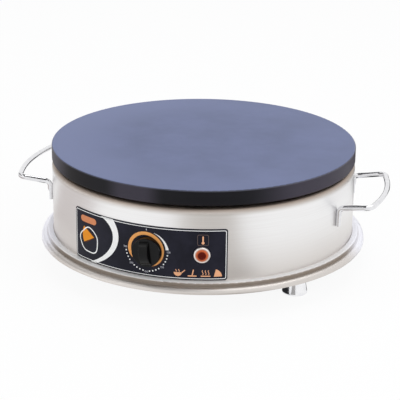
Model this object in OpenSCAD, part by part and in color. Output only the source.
// Countertop crepe maker: a round cooking plate on a flanged steel drum, with a thermostat
// control panel, a pilot lamp, two bent-rod handles and three conical feet.
// Front is -Y, +X is to the right of someone at the panel, +Z is up and the floor is z = 0.

/* [Cooking plate] */
// Diameter of the cooking plate
plate_d = 400; // [385:1:420]
// Thickness of the plate at its rim
plate_rim_t = 20; // [18:0.5:24]
// Thickness of the plate over the heating elements
plate_web_t = 14; // [12:0.5:16]
// Width of the thick rim on the underside
plate_rim_w = 32; // [28:1:36]
// Rounding of the rim's upper and lower edge
plate_edge_r = 2; // [0.5:0.5:4]
// Gap between the drum and the plate
plate_gap = 3; // [2:0.5:6]
// How far the plate stands out past the drum
plate_overhang = 0; // [0:0.5:4]
// Number of studs that hold the plate
plate_stud_count = 3; // [3:1:6]
// Diameter of a plate stud
plate_stud_d = 8; // [6:1:9]
// Distance from the drum's inside to the middle of a stud
plate_stud_inset = 14; // [13:0.5:16]
// Depth of a stud's blind hole in the rim
plate_stud_depth = 12; // [8:0.5:14]
// Free thread below a plate nut
plate_stud_tail = 3; // [1:0.5:6]
// Diameter of the spacer round a stud
spacer_d = 16; // [14:0.5:20]
// Thickness of a plate washer
washer_t = 1.6; // [1:0.1:2.5]
// Diameter of a plate washer
washer_d = 16; // [14:0.5:19]

/* [Drum] */
// Height from the lip to the top of the drum
shell_h = 105; // [98:0.5:115]
// Sheet thickness of the drum
shell_t = 1.2; // [0.8:0.1:2]
// Outer rounding of the drum's shoulder
shoulder_r = 7; // [4:0.5:9]
// Width of the ring turned in at the top
top_ring_w = 30; // [28:0.5:33]
// How far the flange stands out from the drum
flange_w = 16; // [14.5:0.5:24]
// Height from the lip to the flange's upper face
flange_h = 6.5; // [6.5:0.5:12]
// Outer rounding of the flange
flange_edge_r = 6; // [2.5:0.5:6]
// How far the ledge above the flange stands out from the drum
ledge_w = 8; // [5:0.5:8]
// Height of the ledge above the flange
ledge_h = 5.4; // [4.5:0.1:8]
// Outer rounding of the ledge
ledge_edge_r = 2.2; // [2.1:0.1:3]
// Hollow rounding at the foot of the drum and of the ledge
hollow_edge_r = 0.5; // [0.3:0.1:1]

/* [Heating] */
// Diameter of the element tube
element_d = 8; // [6:0.5:9]
// Radius of the outer element
outer_ring_r = 130; // [120:1:135]
// Radius of the inner element
inner_ring_r = 75; // [65:1:85]
// Distance between the two ends of an element
element_end_gap = 44; // [40:1:55]
// Radius of the bend at an element's end
element_bend_r = 12; // [10:0.5:14]
// Straight length between an element's ring and its bend
element_stub = 3; // [1:0.5:5]
// Length of the tube below its bend
element_drop = 26; // [24:0.5:36]
// Diameter of a terminal pin
terminal_pin_d = 4; // [3:0.5:5]
// Length of a terminal pin
terminal_pin_l = 14; // [8:0.5:20]
// Direction of the element ends, from the front
element_turn = 120; // [100:1:140]
// Width of a clamp bar
clamp_w = 20; // [14:0.5:26]
// Thickness of a clamp bar
clamp_t = 3; // [2:0.25:4]
// How far a clamp bar runs past the element tubes
clamp_over = 8; // [4:0.5:10]
// Direction of the first clamp bar, from the front
clamp_turn = 60; // [50:1:70]
// Diameter of a clamp stud
clamp_stud_d = 6; // [5:0.5:7]
// Depth of a clamp stud's blind hole in the plate
clamp_stud_depth = 8; // [6:0.5:9]
// Free thread below a clamp nut
clamp_stud_tail = 2; // [1:0.5:4]
// Depth of the shield pan below the drum's top
shield_depth = 24; // [22:0.5:30]
// Sheet thickness of the shield pan
shield_t = 0.8; // [0.6:0.1:1.5]
// Width of the shield pan's flange
shield_flange_w = 25; // [24:0.5:27]
// Thickness of the insulation
insulation_t = 10; // [6:0.5:12]
// Room round each element end in the shield and the insulation
element_room = 2; // [1:0.25:4]

/* [Control panel] */
// Direction of the panel's middle, from the front to the right
panel_turn = -8.4; // [-16:0.1:0]
// Arc that the panel spans
panel_arc = 61.1; // [56:0.1:66]
// Height of the panel
panel_h = 66.5; // [56:0.5:68]
// Thickness of the panel
panel_t = 0.6; // [0.4:0.1:1]
// Rounding of the panel's corners
panel_corner_r = 3; // [1:0.5:6]
// Distance from the hollow at the drum's foot to the panel
panel_lift = 0.3; // [0.3:0.1:3]
// Height of knob and lamp above the panel's middle
control_rise = 0.5; // [-3:0.5:3]

/* [Thermostat] */
// Direction of the knob from the panel's middle
knob_offset = 2.5; // [-4:0.1:6]
// Diameter of the knob
knob_d = 37.5; // [36:0.5:42]
// Height of the knob's round base
knob_base_h = 11; // [9.5:0.5:12]
// Height of the knob with its blade
knob_h = 16.5; // [16:0.5:18.5]
// Draft of the knob's base, on its radius
knob_draft = 0.8; // [0.2:0.1:1.5]
// Rounding of the base's front edge
knob_edge_r = 1.5; // [0.5:0.25:2]
// Width of the blade at its root
blade_root_w = 9; // [7:0.5:11]
// Width of the blade at its crest
blade_crest_w = 5.5; // [4:0.5:6.5]
// Angle of the blade at the off stop, clockwise
blade_turn = -7; // [-15:1:15]
// Depth of the scoops beside the blade
scoop_depth = 2; // [0.5:0.25:3]
// Gap between the knob and the panel
knob_gap = 0.8; // [0.5:0.1:0.9]
// Wall of the hollow knob
knob_wall = 1.8; // [1.4:0.1:2.2]
// Depth of the hollow behind the knob
knob_hollow = 6; // [4:0.5:6.5]
// Diameter of the brass insert
insert_d = 10; // [9:0.5:12]
// Wall of the boss round the insert
boss_wall = 1.6; // [1.2:0.1:2]
// Length of the brass insert
insert_l = 9; // [6:0.5:9.5]
// Diameter of the spindle
spindle_d = 6; // [5:0.5:6.5]
// Depth of the flat on the spindle
spindle_flat = 1.5; // [1:0.1:2]
// Running clearance of the spindle, on its radius
spindle_fit = 0.05; // [0.02:0.01:0.1]
// Depth of the spindle in the thermostat
spindle_depth = 12; // [8:0.5:16]
// Diameter of the spindle's hole in drum and panel
spindle_hole_d = 10; // [8:0.5:11]
// Width of the thermostat
thermostat_w = 38; // [36:0.5:44]
// Height of the thermostat
thermostat_h = 34; // [28:0.5:40]
// Depth of the thermostat
thermostat_depth = 32; // [26:0.5:38]
// Rounding of the thermostat's long edges
thermostat_edge_r = 3; // [1:0.5:5]
// Thickness of the mounting pad behind the wall
pad_t = 3; // [2.5:0.1:4]
// How far the pad stands out past the thermostat
pad_margin = 3; // [2:0.5:4]
// Distance between the two thermostat screws
screw_pitch = 26; // [24:0.5:27]
// Diameter of a thermostat screw
screw_d = 4; // [3:0.25:4]
// Length of thread in the thermostat
screw_bite = 6; // [4:0.5:10]
// Diameter of a screw head
screw_head_d = 6.5; // [6:0.25:7]
// Height of a screw head
screw_head_h = 2; // [1.5:0.25:2.5]

/* [Temperature sensor] */
// Diameter of the sensor bulb
bulb_d = 6; // [5:0.25:7]
// Length of the sensor bulb
bulb_l = 46; // [36:1:50]
// Radius at which the bulb lies
bulb_r = 100; // [97:0.5:104]
// Diameter of the capillary
capillary_d = 2; // [1.5:0.1:2.5]
// Radius of the capillary's bends
capillary_bend_r = 8; // [5:0.5:9]
// Height of the capillary's loop above the thermostat
capillary_rise = 9; // [9:0.5:11]
// Width of the clip under the bulb
clip_w = 10; // [8:0.5:14]
// Sheet thickness of the clip
clip_t = 1; // [0.8:0.1:1.5]
// Diameter of the clip's screw
clip_screw_d = 4; // [3:0.25:4.5]
// Depth of the clip screw's hole in the plate
clip_screw_depth = 6; // [4:0.5:8]

/* [Pilot lamp] */
// Direction of the lamp from the panel's middle
lamp_offset = 21.7; // [20:0.1:25]
// Diameter of the lamp's bezel
bezel_d = 20.5; // [17:0.5:22]
// Height of the bezel in front of the panel
bezel_h = 3.2; // [2.5:0.1:4.5]
// Diameter of the lens
lens_d = 14; // [12:0.25:15]
// Height of the lens's dome past the bezel
lens_dome = 2.2; // [1.5:0.1:3.5]
// Depth of the lens in the bezel
lens_seat = 2; // [1:0.25:2.25]
// Diameter of the lamp's barrel
barrel_d = 12; // [10:0.25:13]
// Length of the barrel behind the panel
barrel_l = 24; // [18:0.5:30]
// Thickness of the lamp's nut
lamp_nut_t = 4; // [3:0.25:6]
// Length of the lamp's two tabs
lamp_tab_l = 8; // [5:0.5:12]
// Width of a lamp tab
lamp_tab_w = 2.8; // [2:0.1:4]
// Thickness of a lamp tab
lamp_tab_t = 0.8; // [0.5:0.1:1.2]

/* [Handles] */
// Diameter of the handle's rod
rod_d = 7; // [5.5:0.25:8]
// Distance between the legs at the drum
leg_spread = 130; // [110:1:135]
// Distance between the corners of the bow
bow_spread = 138; // [135:1:150]
// How far the handle stands out from the drum
handle_reach = 47; // [42:0.5:55]
// Radius of the bow
bow_r = 215; // [150:5:270]
// Slant of the bow's ends
bow_slant = 12; // [9:0.5:12]
// Height of the drum's top above the legs
handle_drop = 30.5; // [28:0.5:38]
// Rise from the legs to the bow
bow_rise = 5; // [2:0.5:12]
// Length of the welded tab below the leg
tab_l = 24; // [18:0.5:32]
// Thickness of the tab, pressed flat towards its end
tab_t = 4.5; // [3.5:0.25:5.5]
// Radius of the bend above the tab
tab_bend_r = 7; // [6:0.5:9]
// Radius of the bend at the bow's corner
bow_corner_r = 10; // [8:0.5:11]
// Depth of the flat where a tab meets the drum
tab_flat = 0.5; // [0.2:0.1:1]

/* [Base and feet] */
// Thickness of the base plate
base_t = 1.2; // [0.8:0.1:2]
// Gap between the base plate and the flange's rounding
base_edge_gap = 0.5; // [0.3:0.1:2]
// Width of a vent slot
vent_w = 5; // [3:0.5:7]
// Length of a vent slot
vent_l = 60; // [40:1:70]
// Number of vent slots in a group
vent_count = 7; // [3:1:9]
// Distance between vent slots
vent_pitch = 14; // [11:0.5:16]
// Distance from the middle of the base to the middle of a vent group
vent_reach = 60; // [45:1:70]
// Height of the lip above the floor
foot_gap = 30.5; // [26:0.5:40]
// Diameter of a foot at the floor
foot_d = 32.5; // [28:0.5:36]
// Diameter of a foot at its top
foot_top_d = 21; // [19:0.5:25]
// Wall of a foot
foot_wall = 1.5; // [1.2:0.1:2]
// Thickness of a foot's top
foot_crown_t = 4; // [3:0.5:6]
// Distance from the drum's outside to the middle of a foot
foot_inset = 23; // [19:0.5:28]
// Direction of the first of the three feet, from the front to the right
foot_turn = 55; // [48:1:62]
// Height of the pad in a foot
foot_pad_h = 6; // [4:0.5:9]
// How far the pad stands out below the foot
foot_pad_out = 0.5; // [0.3:0.1:1.5]
// Diameter of a foot bolt
foot_bolt_d = 6; // [5:0.5:6.5]
// Number of brackets that hold the base
bracket_count = 3; // [3:1:4]
// Width of a base bracket
bracket_w = 22; // [18:1:30]
// Length of a base bracket's foot
bracket_l = 18; // [16:0.5:24]
// Height of a base bracket
bracket_h = 24; // [18:0.5:30]
// Sheet thickness of a base bracket
bracket_t = 2; // [1.5:0.1:3]
// Direction of the first base bracket, from the front
bracket_turn = 90; // [86:1:94]
// Diameter of a base screw
base_screw_d = 5; // [4:0.5:6]

/* [Wiring] */
// Width of the terminal block
block_w = 52; // [45:1:60]
// Depth of the terminal block
block_depth = 22; // [18:1:28]
// Height of the terminal block
block_h = 18; // [14:0.5:22]
// Radius at which the terminal block stands
block_r = 140; // [130:1:145]
// Direction of the terminal block, from the front
block_turn = 152; // [148:1:156]
// Number of poles of the terminal block
block_poles = 3; // [2:1:4]
// Length at each end of the block for its own screw
block_end = 8; // [7:0.5:10]
// Diameter of a wire's way through the block
wire_bore_d = 5; // [4:0.25:6]
// Diameter of a screw in the block
wire_screw_d = 4; // [3:0.25:4.5]
// Diameter of the earth stud
earth_d = 5; // [4:0.5:6]
// Height of the earth stud above the base plate
earth_h = 18; // [15:0.5:24]
// Radius at which the earth stud stands
earth_r = 140; // [130:1:150]
// Direction of the earth stud, from the front
earth_turn = 205; // [200:1:212]

/* [Cable gland] */
// Height of the gland above the flange
gland_rise = 27; // [20:0.5:34]
// Thread diameter of the gland
gland_thread_d = 16; // [14:0.5:18]
// Width across the flats of the gland
gland_flats = 22; // [21:0.5:26]
// Thickness of the gland's fixed hexagon
gland_hex_t = 5; // [4:0.25:6]
// Length of the gland's cap
gland_cap_l = 12; // [9:0.5:12.5]
// Diameter of the cable entry
cable_bore_d = 8.5; // [7:0.25:10]
// Taper of the gland's cap, on its diameter
gland_taper = 3; // [1:0.5:5]
// Thickness of the locknut
gland_nut_t = 5; // [4:0.25:7]
// Free thread behind the locknut
gland_tail = 1; // [0.5:0.5:4]
// Wall of the seal
gland_seal_wall = 2; // [1.5:0.1:2.5]

/* [Clearances] */
// Gap between curved faces that lie on each other
seat_gap = 0.1; // [0.05:0.01:0.25]
// Clearance of screws and studs, on the radius
hole_fit = 0.15; // [0.1:0.01:0.3]
// Thinning of a rod or tube in its bends, on the radius
bend_thinning = 0.02; // [0.01:0.01:0.05]

/* [Hidden] */
$fn = 96;
// Facets of a round as large as the drum
drum_fn = 720;
// Length that a cutting body runs past a face
cut = 1;
// Length that a straight rod laps over the bend that follows it
lap = 0.1;

// Radii of the drum and of what it carries
plate_r = plate_d / 2;
drum_r = plate_r - plate_overhang;
drum_in_r = drum_r - shell_t;
flange_r = drum_r + flange_w;
ledge_r = drum_r + ledge_w;
ring_in_r = drum_r - top_ring_w;
plate_stud_r = drum_in_r - plate_stud_inset;
rim_in_r = plate_r - plate_rim_w;

// Heights from the floor up
lip_z = foot_gap;
flange_z = lip_z + flange_h;
ledge_z = flange_z + ledge_h;
drum_z = lip_z + shell_h;
plate_z = drum_z + plate_gap;
plate_top_z = plate_z + plate_rim_t;
web_z = plate_top_z - plate_web_t;
element_z = web_z - element_d / 2 - seat_gap;
clamp_z = element_z - element_d / 2 - seat_gap;
base_z = flange_z - shell_t;
base_bottom_z = base_z - base_t;
shield_z = drum_z - shell_t;
pan_z = drum_z - shield_depth;

// Panel and controls
panel_r = drum_r + seat_gap;
panel_out_r = panel_r + panel_t;
panel_z = ledge_z + hollow_edge_r + panel_lift;
control_z = panel_z + panel_h / 2 + control_rise;
knob_turn = panel_turn + knob_offset;
lamp_turn = panel_turn + lamp_offset;
knob_back_r = panel_out_r + knob_gap;
pad_r = drum_in_r - seat_gap;
pad_back_r = pad_r - pad_t;
screw_seat_r = sqrt(panel_out_r ^ 2 - ((screw_pitch - screw_head_d) / 2) ^ 2) + seat_gap;

// Direction of the back, from the front
rear_turn = 180;

// Nut sizes follow the thread: width across the flats and height
flats_per_thread = 1.6;
height_per_thread = 0.8;
function nut_flats(d) = flats_per_thread * d;
function nut_height(d) = height_per_thread * d;
function across_corners(flats) = flats / cos(30);

// Steps round the axis
function even_turn(i, count, first) = first + i * 360 / count;

// Puts a piece on the drum's wall: x along the wall, y up, z straight out
module on_wall(turn, z, r) {
    rotate([0, 0, turn]) translate([0, -r, z]) rotate([90, 0, 0]) children();
}

// Puts a piece at a direction and radius, with z up
module at_polar(turn, r, z) {
    rotate([0, 0, turn]) translate([0, -r, z]) children();
}

module hex_prism(flats, h) {
    cylinder(h = h, d = across_corners(flats), $fn = 6);
}

module hex_nut(d, h, flats) {
    difference() {
        hex_prism(flats, h);
        translate([0, 0, -cut]) cylinder(h = h + 2 * cut, r = d / 2 + hole_fit);
    }
}

module ring(d_out, d_in, h) {
    difference() {
        cylinder(h = h, d = d_out);
        translate([0, 0, -cut]) cylinder(h = h + 2 * cut, d = d_in);
    }
}

module round_rect(w, h, r) {
    square([w - 2 * r, h], center = true);
    square([w, h - 2 * r], center = true);
    for (x = [-1, 1], y = [-1, 1]) {
        translate([x * (w / 2 - r), y * (h / 2 - r)]) circle(r);
    }
}

module slot(l, w) {
    square([l - w, w], center = true);
    for (x = [-1, 1]) {
        translate([x * (l - w) / 2, 0]) circle(d = w);
    }
}

// Rod bent along corner points, with one bend radius for each inner corner
function unit(v) = v / norm(v);
function turn_angle(u, w) = acos(u * w);

module straight_rod(a, b, d) {
    run = b - a;
    tilt = atan2(norm([run.x, run.y]), run.z);
    translate(a) rotate([0, tilt, atan2(run.y, run.x)]) cylinder(h = norm(run), d = d);
}

module rod_bend(corner, u, w, r, d) {
    angle = turn_angle(u, w);
    n = unit(w - u * (u * w));
    k = cross(u, n);
    c = corner - u * r * tan(angle / 2) + n * r;
    multmatrix([[-n.x, u.x, k.x, c.x], [-n.y, u.y, k.y, c.y], [-n.z, u.z, k.z, c.z], [0, 0, 0, 1]])
        rotate_extrude(angle = angle) translate([r, 0]) circle(d / 2 - bend_thinning);
}

module bent_rod(corners, radii, d) {
    last = len(corners) - 1;
    dirs = [for (i = [0 : last - 1]) unit(corners[i + 1] - corners[i])];
    trims = [for (i = [0 : last])
        i == 0 || i == last ? 0 : radii[i - 1] * tan(turn_angle(dirs[i - 1], dirs[i]) / 2) - lap];
    for (i = [0 : last - 1]) {
        straight_rod(corners[i] + dirs[i] * trims[i], corners[i + 1] - dirs[i] * trims[i + 1], d);
    }
    for (i = [1 : last - 1]) {
        rod_bend(corners[i], dirs[i - 1], dirs[i], radii[i - 1], d);
    }
}

// Cooking plate and its fixings
module plate_profile() {
    difference() {
        union() {
            translate([0, plate_z + plate_edge_r])
                square([plate_r, plate_rim_t - 2 * plate_edge_r]);
            translate([0, plate_z]) square([plate_r - plate_edge_r, plate_rim_t]);
            for (z = [plate_z + plate_edge_r, plate_top_z - plate_edge_r]) {
                translate([plate_r - plate_edge_r, z]) circle(plate_edge_r);
            }
        }
        translate([-cut, plate_z - cut]) square([rim_in_r + cut, web_z - plate_z + cut]);
    }
}

module at_plate_studs(z) {
    for (i = [0 : plate_stud_count - 1]) {
        at_polar(even_turn(i, plate_stud_count, 0), plate_stud_r, z) children();
    }
}

clamp_stud_r = (outer_ring_r + inner_ring_r) / 2;

module at_clamps(z) {
    for (turn = [clamp_turn, rear_turn, -clamp_turn]) {
        at_polar(turn, clamp_stud_r, z) children();
    }
}

clip_x = -capillary_bend_r - bulb_l / 2;
clip_leg = bulb_d + clip_screw_d;

module at_clip_screw(z) {
    rotate([0, 0, knob_turn]) translate([clip_x, -bulb_r + clip_leg, z]) children();
}

module griddle_plate() {
    color("#5d6273") difference() {
        rotate_extrude() plate_profile();
        at_plate_studs(plate_z - cut)
            cylinder(h = plate_stud_depth + cut, r = plate_stud_d / 2 + hole_fit);
        at_clamps(web_z - cut)
            cylinder(h = clamp_stud_depth + cut, r = clamp_stud_d / 2 + hole_fit);
        at_clip_screw(web_z - cut)
            cylinder(h = clip_screw_depth + cut, r = clip_screw_d / 2 + hole_fit);
    }
}

plate_washer_z = shield_z - shield_t - washer_t;
plate_nut_z = plate_washer_z - nut_height(plate_stud_d);

module plate_studs() {
    foot_z = plate_nut_z - plate_stud_tail;
    color("#a9acae") at_plate_studs(foot_z)
        cylinder(h = plate_z + plate_stud_depth - foot_z, d = plate_stud_d);
}

module plate_spacers() {
    color("#8d8f90") at_plate_studs(drum_z)
        ring(spacer_d, plate_stud_d + 2 * hole_fit, plate_gap);
}

module plate_washers() {
    color("#b4b6b8") at_plate_studs(plate_washer_z)
        ring(washer_d, plate_stud_d + 2 * hole_fit, washer_t);
}

module plate_nuts() {
    color("#b4b6b8") at_plate_studs(plate_nut_z)
        hex_nut(plate_stud_d, nut_height(plate_stud_d), nut_flats(plate_stud_d));
}

// Heating elements: a ring of tube whose two ends turn down to their terminal pins
function end_half_angle(r) = asin(element_end_gap / 2 / r);

module element_end() {
    end_x = element_bend_r + element_stub;
    drop_z = -element_bend_r - element_drop;
    bent_rod([[-lap, 0, 0], [end_x, 0, 0], [end_x, 0, drop_z]], [element_bend_r], element_d);
    translate([end_x, 0, drop_z - terminal_pin_l])
        cylinder(h = terminal_pin_l + lap, d = terminal_pin_d);
}

module at_element_ends(r, z) {
    half = end_half_angle(r);
    at_polar(element_turn - half, r, z) children();
    at_polar(element_turn + half, r, z) mirror([1, 0, 0]) children();
}

module ring_element(r) {
    half = end_half_angle(r);
    rotate([0, 0, element_turn + half - 90]) translate([0, 0, element_z])
        rotate_extrude(angle = 360 - 2 * half) translate([r, 0]) circle(element_d / 2 - bend_thinning);
    at_element_ends(r, element_z) element_end();
}

module element_holes(z, h) {
    for (r = [outer_ring_r, inner_ring_r]) {
        at_element_ends(r, z) translate([element_bend_r + element_stub, 0, 0])
            cylinder(h = h, r = element_d / 2 + element_room);
    }
}

module outer_element() {
    color("#4b4a48") ring_element(outer_ring_r);
}

module inner_element() {
    color("#4b4a48") ring_element(inner_ring_r);
}

module element_clamps() {
    run = outer_ring_r - inner_ring_r + element_d + 2 * clamp_over;
    color("#9c9ea0") at_clamps(clamp_z - clamp_t) difference() {
        linear_extrude(clamp_t) rotate(90) slot(run, clamp_w);
        translate([0, 0, -cut]) cylinder(h = clamp_t + 2 * cut, r = clamp_stud_d / 2 + hole_fit);
    }
}

clamp_nut_z = clamp_z - clamp_t - nut_height(clamp_stud_d);

module clamp_studs() {
    foot_z = clamp_nut_z - clamp_stud_tail;
    color("#a9acae") at_clamps(foot_z)
        cylinder(h = web_z + clamp_stud_depth - foot_z, d = clamp_stud_d);
}

module clamp_nuts() {
    color("#b4b6b8") at_clamps(clamp_nut_z)
        hex_nut(clamp_stud_d, nut_height(clamp_stud_d), nut_flats(clamp_stud_d));
}

// Shield pan hung under the drum's ring, with insulation in it
pan_r = drum_r - shoulder_r - seat_gap - shield_flange_w;

module capillary_hole(z, h) {
    rotate([0, 0, knob_turn]) translate([0, -bulb_r, z]) cylinder(h = h, r = capillary_d + hole_fit);
}

module shield_pan() {
    color("#bfc1c0") difference() {
        rotate_extrude() {
            translate([0, pan_z]) square([pan_r, shield_t]);
            translate([pan_r - shield_t, pan_z]) square([shield_t, shield_z - pan_z]);
            translate([pan_r - shield_t, shield_z - shield_t])
                square([shield_flange_w + shield_t, shield_t]);
        }
        at_plate_studs(shield_z - shield_t - cut)
            cylinder(h = shield_t + 2 * cut, r = plate_stud_d / 2 + hole_fit);
        element_holes(pan_z - cut, shield_t + 2 * cut);
        capillary_hole(pan_z - cut, shield_t + 2 * cut);
    }
}

module insulation_board() {
    color("#e6e2d3") translate([0, 0, pan_z + shield_t]) difference() {
        cylinder(h = insulation_t, r = pan_r - shield_t - seat_gap);
        element_holes(-cut, insulation_t + 2 * cut);
        capillary_hole(-cut, insulation_t + 2 * cut);
    }
}

// Temperature sensor: bulb under the plate, capillary down to the thermostat
bulb_z = web_z - bulb_d / 2 - seat_gap;
thermostat_top_z = control_z + thermostat_h / 2;
capillary_r = pad_back_r - thermostat_depth / 2;
capillary_z = thermostat_top_z + capillary_rise;

module sensor_bulb() {
    color("#c08a5a") rotate([0, 0, knob_turn])
        translate([-capillary_bend_r, -bulb_r, bulb_z]) rotate([0, -90, 0])
            cylinder(h = bulb_l, d = bulb_d);
}

module capillary_tube() {
    corners = [[0, -capillary_r, thermostat_top_z], [0, -capillary_r, capillary_z],
        [0, -bulb_r, capillary_z], [0, -bulb_r, bulb_z], [-capillary_bend_r, -bulb_r, bulb_z]];
    radii = [for (i = [1 : 3]) capillary_bend_r];
    color("#b87f52") rotate([0, 0, knob_turn]) bent_rod(corners, radii, capillary_d);
}

module bulb_clip() {
    saddle_r = bulb_d / 2 + seat_gap;
    color("#b4b6b8") difference() {
        rotate([0, 0, knob_turn]) translate([clip_x - clip_w / 2, -bulb_r, bulb_z])
            rotate([90, 0, 90]) linear_extrude(clip_w) difference() {
                union() {
                    circle(saddle_r + clip_t);
                    translate([-saddle_r - clip_t, 0]) square([2 * (saddle_r + clip_t), saddle_r]);
                    translate([0, saddle_r - clip_t]) square([clip_leg + clip_screw_d, clip_t]);
                }
                circle(saddle_r);
                translate([-saddle_r, 0]) square([2 * saddle_r, saddle_r + cut]);
            }
        at_clip_screw(bulb_z) cylinder(h = bulb_d + cut, r = clip_screw_d / 2 + hole_fit);
    }
}

module clip_screw() {
    head_h = nut_height(clip_screw_d);
    clip_under_z = bulb_z + bulb_d / 2 + seat_gap - clip_t;
    color("#b4b6b8") at_clip_screw(clip_under_z - head_h) {
        cylinder(h = head_h, d = nut_flats(clip_screw_d));
        cylinder(h = head_h + clip_t + clip_screw_depth, d = clip_screw_d);
    }
}

// Half of a round step's section, from a floor up to its rounded upper edge
module step_half(r, top_z, edge_r, floor_z) {
    translate([0, floor_z]) square([r, top_z - edge_r - floor_z]);
    translate([0, floor_z]) square([r - edge_r, top_z - floor_z]);
    translate([r - edge_r, top_z - edge_r]) intersection() {
        circle(edge_r);
        square(edge_r);
    }
}

// Hollow rounding in the corner between a wall and the step below it
module hollow_corner(r, z, hollow_r) {
    difference() {
        translate([r, z]) square(hollow_r);
        translate([r + hollow_r, z + hollow_r]) circle(hollow_r);
    }
}

// Drum with its turned-in ring, ledge, flange and lip
module shell_outline(inset, floor_z) {
    hollow_r = hollow_edge_r + inset;
    step_half(drum_r - inset, drum_z - inset, shoulder_r - inset, floor_z);
    step_half(ledge_r - inset, ledge_z - inset, ledge_edge_r - inset, floor_z);
    step_half(flange_r - inset, flange_z - inset, flange_edge_r - inset, floor_z);
    hollow_corner(drum_r - inset, ledge_z - inset, hollow_r);
    hollow_corner(ledge_r - inset, flange_z - inset, hollow_r);
}

module at_thermostat_screws(r) {
    on_wall(knob_turn, control_z, r) for (x = [-1, 1]) {
        translate([x * screw_pitch / 2, 0, 0]) children();
    }
}

// Holes for knob, screws and lamp, cut outward from a radius
module control_holes(r, h) {
    on_wall(knob_turn, control_z, r) cylinder(h = h, d = spindle_hole_d);
    at_thermostat_screws(r) cylinder(h = h, r = screw_d / 2 + hole_fit);
    on_wall(lamp_turn, control_z, r) cylinder(h = h, r = barrel_d / 2 + hole_fit);
}

wall_cut_r = drum_in_r - pad_t;
wall_cut_h = panel_out_r - wall_cut_r + cut;
gland_z = flange_z + gland_rise;

module body_shell() {
    color("#c9c7c3") difference() {
        rotate_extrude() difference() {
            shell_outline(0, lip_z);
            shell_outline(shell_t, lip_z - cut);
            square([ring_in_r, drum_z + cut]);
        }
        at_plate_studs(drum_z - shell_t - cut)
            cylinder(h = shell_t + 2 * cut, r = plate_stud_d / 2 + hole_fit);
        control_holes(wall_cut_r, wall_cut_h);
        on_wall(rear_turn, gland_z, wall_cut_r)
            cylinder(h = wall_cut_h, r = gland_thread_d / 2 + hole_fit);
    }
}

module control_panel() {
    chord = 2 * panel_out_r * sin(panel_arc / 2);
    inner_r = panel_r * cos(panel_arc / 2) - cut;
    color("#21212b") difference() {
        intersection() {
            cylinder(h = drum_z, r = panel_out_r, $fn = drum_fn);
            on_wall(panel_turn, panel_z + panel_h / 2, inner_r)
                linear_extrude(panel_out_r - inner_r + cut)
                    round_rect(chord, panel_h, panel_corner_r);
        }
        cylinder(h = drum_z, r = panel_r, $fn = drum_fn);
        control_holes(wall_cut_r, wall_cut_h);
    }
}

// Knob, its insert and the spindle, drawn with z out of the wall
module in_knob(r) {
    on_wall(knob_turn, control_z, r) rotate([0, 0, -blade_turn]) children();
}

module knob_base_profile() {
    base_r = knob_d / 2;
    front_r = base_r - knob_draft;
    polygon([[0, 0], [base_r, 0], [front_r, knob_base_h - knob_edge_r],
        [front_r - knob_edge_r, knob_base_h - knob_edge_r], [front_r - knob_edge_r, knob_base_h],
        [0, knob_base_h]]);
    translate([front_r - knob_edge_r, knob_base_h - knob_edge_r]) circle(knob_edge_r);
}

module knob_blade() {
    half_l = knob_d / 2 - knob_draft - knob_edge_r;
    sag = knob_h - knob_base_h + knob_edge_r;
    arch_r = (half_l ^ 2 + sag ^ 2) / (2 * sag);
    intersection() {
        rotate([90, 0, 0]) linear_extrude(2 * half_l, center = true)
            polygon([[-blade_root_w / 2, knob_hollow], [blade_root_w / 2, knob_hollow],
                [blade_crest_w / 2, knob_h], [-blade_crest_w / 2, knob_h]]);
        translate([0, 0, knob_h - arch_r]) rotate([0, 90, 0])
            cylinder(h = blade_root_w + cut, r = arch_r, center = true);
    }
}

module knob_scoops() {
    half_w = (knob_d - blade_root_w) / 4;
    scoop_r = (half_w ^ 2 + scoop_depth ^ 2) / (2 * scoop_depth);
    for (x = [-1, 1]) {
        translate([x * (blade_root_w / 2 + half_w), 0, knob_base_h - scoop_depth + scoop_r])
            rotate([90, 0, 0]) cylinder(h = knob_d, r = scoop_r, center = true);
    }
}

module d_shape(d, flat) {
    difference() {
        circle(d = d);
        translate([d / 2 - flat, -d]) square(2 * d);
    }
}

boss_d = insert_d + 2 * boss_wall;

module knob() {
    color("#17171b") in_knob(knob_back_r) difference() {
        union() {
            difference() {
                rotate_extrude() knob_base_profile();
                knob_scoops();
            }
            knob_blade();
        }
        translate([0, 0, -cut]) ring(knob_d - 2 * knob_wall, boss_d, knob_hollow + cut);
        translate([0, 0, -cut]) cylinder(h = insert_l + cut, r = insert_d / 2 + seat_gap);
    }
}

module knob_insert() {
    color("#b8963e") in_knob(knob_back_r) linear_extrude(insert_l) difference() {
        circle(d = insert_d);
        d_shape(spindle_d + 2 * spindle_fit, spindle_flat);
    }
}

module thermostat_spindle() {
    in_l = knob_back_r - pad_back_r + spindle_depth;
    color("#b0b2b4") in_knob(knob_back_r) {
        linear_extrude(insert_l) d_shape(spindle_d, spindle_flat);
        translate([0, 0, -in_l]) cylinder(h = in_l, d = spindle_d);
    }
}

module thermostat_body() {
    bush_depth = spindle_depth + seat_gap;
    color("#d8d2c4") on_wall(knob_turn, control_z, pad_back_r) difference() {
        translate([0, 0, -thermostat_depth]) linear_extrude(thermostat_depth)
            round_rect(thermostat_w, thermostat_h, thermostat_edge_r);
        translate([0, 0, -bush_depth]) cylinder(h = bush_depth + cut, r = spindle_d / 2 + spindle_fit);
        for (x = [-1, 1]) {
            translate([x * screw_pitch / 2, 0, -screw_bite])
                cylinder(h = screw_bite + cut, r = screw_d / 2 + hole_fit);
        }
    }
}

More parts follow.
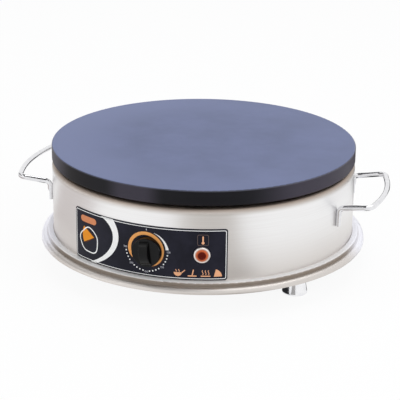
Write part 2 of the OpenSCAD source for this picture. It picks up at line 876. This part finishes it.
module thermostat_pad() {
    color("#a3a6a8") difference() {
        intersection() {
            on_wall(knob_turn, control_z, pad_back_r) linear_extrude(pad_t + cut)
                round_rect(thermostat_w + 2 * pad_margin, thermostat_h + 2 * pad_margin,
                    thermostat_edge_r + pad_margin);
            cylinder(h = drum_z, r = pad_r, $fn = drum_fn);
        }
        on_wall(knob_turn, control_z, wall_cut_r - cut) cylinder(h = wall_cut_h + cut, d = spindle_hole_d);
        at_thermostat_screws(wall_cut_r - cut) cylinder(h = wall_cut_h + cut, r = screw_d / 2 + hole_fit);
    }
}

module thermostat_screws() {
    shank_l = screw_seat_r - pad_back_r + screw_bite;
    color("#b4b6b8") at_thermostat_screws(screw_seat_r) {
        cylinder(h = screw_head_h, d = screw_head_d);
        translate([0, 0, -shank_l]) cylinder(h = shank_l, d = screw_d);
    }
}

// Pilot lamp: bezel and barrel in one, lens and nut
module lamp_bezel() {
    color("#c9cbcd") on_wall(lamp_turn, control_z, panel_out_r) {
        rotate_extrude() difference() {
            union() {
                square([bezel_d / 2, bezel_h / 2]);
                translate([0, bezel_h / 2]) square([(bezel_d - bezel_h) / 2, bezel_h / 2]);
                translate([(bezel_d - bezel_h) / 2, bezel_h / 2]) circle(bezel_h / 2);
                translate([0, -barrel_l]) square([barrel_d / 2, barrel_l + bezel_h / 2]);
            }
            translate([-cut, bezel_h - lens_seat]) square([lens_d / 2 + seat_gap + cut, bezel_h]);
        }
        for (x = [-1, 1]) {
            translate([x * barrel_d / 4 - lamp_tab_w / 2, -lamp_tab_t / 2, -barrel_l - lamp_tab_l])
                cube([lamp_tab_w, lamp_tab_t, lamp_tab_l]);
        }
    }
}

module lamp_lens() {
    dome_r = ((lens_d / 2) ^ 2 + lens_dome ^ 2) / (2 * lens_dome);
    color("#c8501e") on_wall(lamp_turn, control_z, panel_out_r + bezel_h - lens_seat) {
        cylinder(h = lens_seat, d = lens_d);
        intersection() {
            translate([0, 0, lens_seat]) cylinder(h = lens_dome, d = lens_d);
            translate([0, 0, lens_seat + lens_dome - dome_r]) sphere(dome_r);
        }
    }
}

lamp_nut_flats = nut_flats(barrel_d);
lamp_nut_seat_r = sqrt(drum_in_r ^ 2 - (across_corners(lamp_nut_flats) / 2) ^ 2);

module lamp_nut() {
    color("#b4b6b8") on_wall(lamp_turn, control_z, lamp_nut_seat_r - lamp_nut_t)
        hex_nut(barrel_d, lamp_nut_t, lamp_nut_flats);
}

// Handle on the right-hand side: a tab, a leg, the bow, a leg and a tab, bent from one rod
module handle_rod() {
    tab_r = drum_r + rod_d / 2 - tab_flat;
    leg_y = leg_spread / 2;
    leg_x = sqrt(tab_r ^ 2 - leg_y ^ 2);
    leg_z = drum_z - handle_drop;
    bow_y = bow_spread / 2;
    bow_z = leg_z + bow_rise;
    apex_x = drum_r + handle_reach - rod_d / 2 + bow_r * (1 / cos(bow_slant) - 1);
    corner_x = apex_x - bow_y * tan(bow_slant);
    corners = [[leg_x, -leg_y, leg_z - tab_l], [leg_x, -leg_y, leg_z], [corner_x, -bow_y, bow_z],
        [apex_x, 0, bow_z], [corner_x, bow_y, bow_z], [leg_x, leg_y, leg_z],
        [leg_x, leg_y, leg_z - tab_l]];
    radii = [tab_bend_r, bow_corner_r, bow_r, bow_corner_r, tab_bend_r];
    press_z = leg_z - tab_bend_r;
    difference() {
        bent_rod(corners, radii, rod_d);
        cylinder(h = drum_z, r = drum_r + seat_gap, $fn = drum_fn);
        rotate_extrude($fn = drum_fn) polygon([[drum_r + tab_t, 0], [drum_r + handle_reach, 0],
            [drum_r + handle_reach, press_z], [drum_r + rod_d, press_z],
            [drum_r + tab_t, press_z - tab_bend_r]]);
    }
}

module handle_right() {
    color("#d5d7d9") handle_rod();
}

module handle_left() {
    color("#d5d7d9") rotate([0, 0, 180]) handle_rod();
}

// Three feet, evenly round the axis: the right one, the rear one and the left one
foot_r = drum_r - foot_inset;
foot_count = 3;

module at_foot(i, z) {
    at_polar(even_turn(i, foot_count, foot_turn), foot_r, z) children();
}

module at_feet(z) {
    for (i = [0 : foot_count - 1]) {
        at_foot(i, z) children();
    }
}

bracket_screw_r = drum_in_r - seat_gap - bracket_l / 2 - bracket_t / 2;

module at_brackets(r, z) {
    for (i = [0 : bracket_count - 1]) {
        at_polar(even_turn(i, bracket_count, bracket_turn), r, z) children();
    }
}

module at_block_screws(z) {
    at_polar(block_turn, block_r, z) for (x = [-1, 1]) {
        translate([x * (block_w - block_end) / 2, 0, 0]) children();
    }
}

// Base plate under the flange, with two groups of vent slots
module base_plate() {
    first =-(vent_count - 1) / 2;
    color("#a7a9aa") translate([0, 0, base_bottom_z]) difference() {
        cylinder(h = base_t, r = flange_r - flange_edge_r - base_edge_gap);
        translate([0, 0, -cut]) linear_extrude(base_t + 2 * cut)
            for (side = [-1, 1], i = [0 : vent_count - 1]) {
                translate([(first + i) * vent_pitch, side * vent_reach]) rotate(90) slot(vent_l, vent_w);
            }
        at_feet(-cut) cylinder(h = base_t + 2 * cut, r = foot_bolt_d / 2 + hole_fit);
        at_brackets(bracket_screw_r, -cut)
            cylinder(h = base_t + 2 * cut, r = base_screw_d / 2 + hole_fit);
        at_block_screws(-cut) cylinder(h = base_t + 2 * cut, r = wire_screw_d / 2 + hole_fit);
        at_polar(earth_turn, earth_r, -cut) cylinder(h = base_t + 2 * cut, r = earth_d / 2 + hole_fit);
    }
}

module base_brackets() {
    color("#a3a6a8") difference() {
        intersection() {
            at_brackets(0, base_z) rotate([90, 0, 0]) translate([-bracket_w / 2, 0, 0]) union() {
                translate([0, 0, drum_in_r - bracket_l]) cube([bracket_w, bracket_t, bracket_l]);
                translate([0, 0, drum_in_r - bracket_t - seat_gap - bracket_w ^ 2 / (8 * drum_in_r)])
                    cube([bracket_w, bracket_h, bracket_l]);
            }
            cylinder(h = drum_z, r = drum_in_r - seat_gap, $fn = drum_fn);
        }
        at_brackets(bracket_screw_r, base_z - cut)
            cylinder(h = bracket_t + 2 * cut, r = base_screw_d / 2 + hole_fit);
    }
}

// Round-headed screw put in from below, with its head's upper face at z = 0
module screw_up(d, l) {
    head_h = d / 2;
    translate([0, 0, -head_h]) cylinder(h = head_h, d = nut_flats(d));
    cylinder(h = l, d = d);
}

module base_screws() {
    color("#b4b6b8") at_brackets(bracket_screw_r, base_bottom_z)
        screw_up(base_screw_d, base_t + bracket_t + base_screw_d);
}

// Conical foot, open below, with a pad pressed into its mouth
module foot_cone(inset, from_z, to_z) {
    slope = (foot_d - foot_top_d) / 2 / base_bottom_z;
    translate([0, 0, from_z]) cylinder(h = to_z - from_z, r1 = foot_d / 2 - inset - slope * from_z,
        r2 = foot_d / 2 - inset - slope * to_z);
}

module foot() {
    difference() {
        foot_cone(0, foot_pad_out, base_bottom_z);
        foot_cone(foot_wall, foot_pad_out - cut, base_bottom_z - foot_crown_t);
        translate([0, 0, base_bottom_z - foot_crown_t - cut])
            cylinder(h = foot_crown_t + 2 * cut, r = foot_bolt_d / 2 + hole_fit);
    }
}

module foot_left() {
    color("#d5d7d9") at_foot(2, 0) foot();
}

module foot_right() {
    color("#d5d7d9") at_foot(0, 0) foot();
}

module foot_rear() {
    color("#d5d7d9") at_foot(1, 0) foot();
}

module foot_pads() {
    color("#26262a") at_feet(0) foot_cone(foot_wall + seat_gap, 0, foot_pad_h);
}

module foot_bolts() {
    color("#b4b6b8") at_feet(base_bottom_z - foot_crown_t)
        screw_up(foot_bolt_d, foot_crown_t + base_t + nut_height(foot_bolt_d) + foot_bolt_d / 2);
}

module foot_nuts() {
    color("#b4b6b8") at_feet(base_z)
        hex_nut(foot_bolt_d, nut_height(foot_bolt_d), nut_flats(foot_bolt_d));
}

// Terminal block and earth stud on the base plate
pole_pitch = (block_w - 2 * block_end) / block_poles;

module at_poles() {
    for (i = [0 : block_poles - 1]) {
        translate([(i - (block_poles - 1) / 2) * pole_pitch, 0, 0]) children();
    }
}

module terminal_block() {
    color("#ece8dc") at_polar(block_turn, block_r, base_z) difference() {
        translate([-block_w / 2, -block_depth / 2, 0]) cube([block_w, block_depth, block_h]);
        at_poles() {
            translate([0, 0, block_h / 2]) rotate([90, 0, 0])
                cylinder(h = block_depth + 2 * cut, d = wire_bore_d, center = true);
            translate([0, 0, block_h / 2]) cylinder(h = block_h, r = wire_screw_d / 2 + hole_fit);
        }
        for (x = [-1, 1]) {
            translate([x * (block_w - block_end) / 2, 0, -cut])
                cylinder(h = block_h + 2 * cut, r = wire_screw_d / 2 + hole_fit);
        }
    }
}

module block_screws() {
    color("#b4b6b8") at_block_screws(base_bottom_z) screw_up(wire_screw_d, base_t + block_h);
}

module wire_screws() {
    grip = wire_screw_d / 4;
    color("#b8963e") at_polar(block_turn, block_r, base_z + block_h / 2 + grip) at_poles()
        cylinder(h = block_h / 2, d = wire_screw_d);
}

module earth_stud() {
    color("#b8963e") at_polar(earth_turn, earth_r, base_bottom_z) screw_up(earth_d, base_t + earth_h);
}

module earth_nut() {
    color("#b8963e") at_polar(earth_turn, earth_r, base_z)
        hex_nut(earth_d, nut_height(earth_d), nut_flats(earth_d));
}

// Cable gland at the back: hexagon and thread, seal, cap and locknut
gland_wall_r = drum_r + seat_gap;
gland_nut_r = sqrt(drum_in_r ^ 2 - (across_corners(gland_flats) / 2) ^ 2);
gland_thread_in = gland_wall_r - gland_nut_r + gland_nut_t + gland_tail;
gland_bore_d = cable_bore_d + 2 * gland_seal_wall;
gland_neck_l = gland_cap_l / 2;

module gland_body() {
    color("#2a2a2e") on_wall(rear_turn, gland_z, gland_wall_r) difference() {
        union() {
            hex_prism(gland_flats, gland_hex_t);
            translate([0, 0, -gland_thread_in])
                cylinder(h = gland_thread_in + gland_hex_t + gland_neck_l, d = gland_thread_d);
        }
        translate([0, 0, -gland_thread_in - cut])
            cylinder(h = gland_thread_in + gland_hex_t + gland_neck_l + 2 * cut, d = cable_bore_d);
        translate([0, 0, gland_hex_t])
            cylinder(h = gland_neck_l + cut, r = gland_bore_d / 2 + seat_gap);
    }
}

module gland_seal() {
    color("#3a3a3e") on_wall(rear_turn, gland_z, gland_wall_r + gland_hex_t)
        ring(gland_bore_d, cable_bore_d, gland_neck_l);
}

module gland_cap() {
    crown_t = gland_cap_l - gland_neck_l;
    nose_d = gland_flats - gland_taper;
    color("#2a2a2e") on_wall(rear_turn, gland_z, gland_wall_r + gland_hex_t) difference() {
        union() {
            hex_prism(gland_flats, gland_neck_l);
            translate([0, 0, gland_neck_l]) cylinder(h = crown_t, d1 = gland_flats, d2 = nose_d);
        }
        translate([0, 0, -cut]) cylinder(h = gland_neck_l + cut, r = gland_thread_d / 2 + hole_fit);
        translate([0, 0, -cut]) cylinder(h = gland_cap_l + 2 * cut, d = cable_bore_d);
    }
}

module gland_locknut() {
    color("#2a2a2e") on_wall(rear_turn, gland_z, gland_nut_r - gland_nut_t)
        hex_nut(gland_thread_d, gland_nut_t, gland_flats);
}

griddle_plate();
plate_studs();
plate_spacers();
plate_washers();
plate_nuts();
outer_element();
inner_element();
element_clamps();
clamp_studs();
clamp_nuts();
shield_pan();
insulation_board();
sensor_bulb();
capillary_tube();
bulb_clip();
clip_screw();
body_shell();
control_panel();
knob();
knob_insert();
thermostat_spindle();
thermostat_body();
thermostat_pad();
thermostat_screws();
lamp_bezel();
lamp_lens();
lamp_nut();
handle_left();
handle_right();
base_plate();
base_brackets();
base_screws();
foot_left();
foot_right();
foot_rear();
foot_pads();
foot_bolts();
foot_nuts();
terminal_block();
block_screws();
wire_screws();
earth_stud();
earth_nut();
gland_body();
gland_cap();
gland_seal();
gland_locknut();
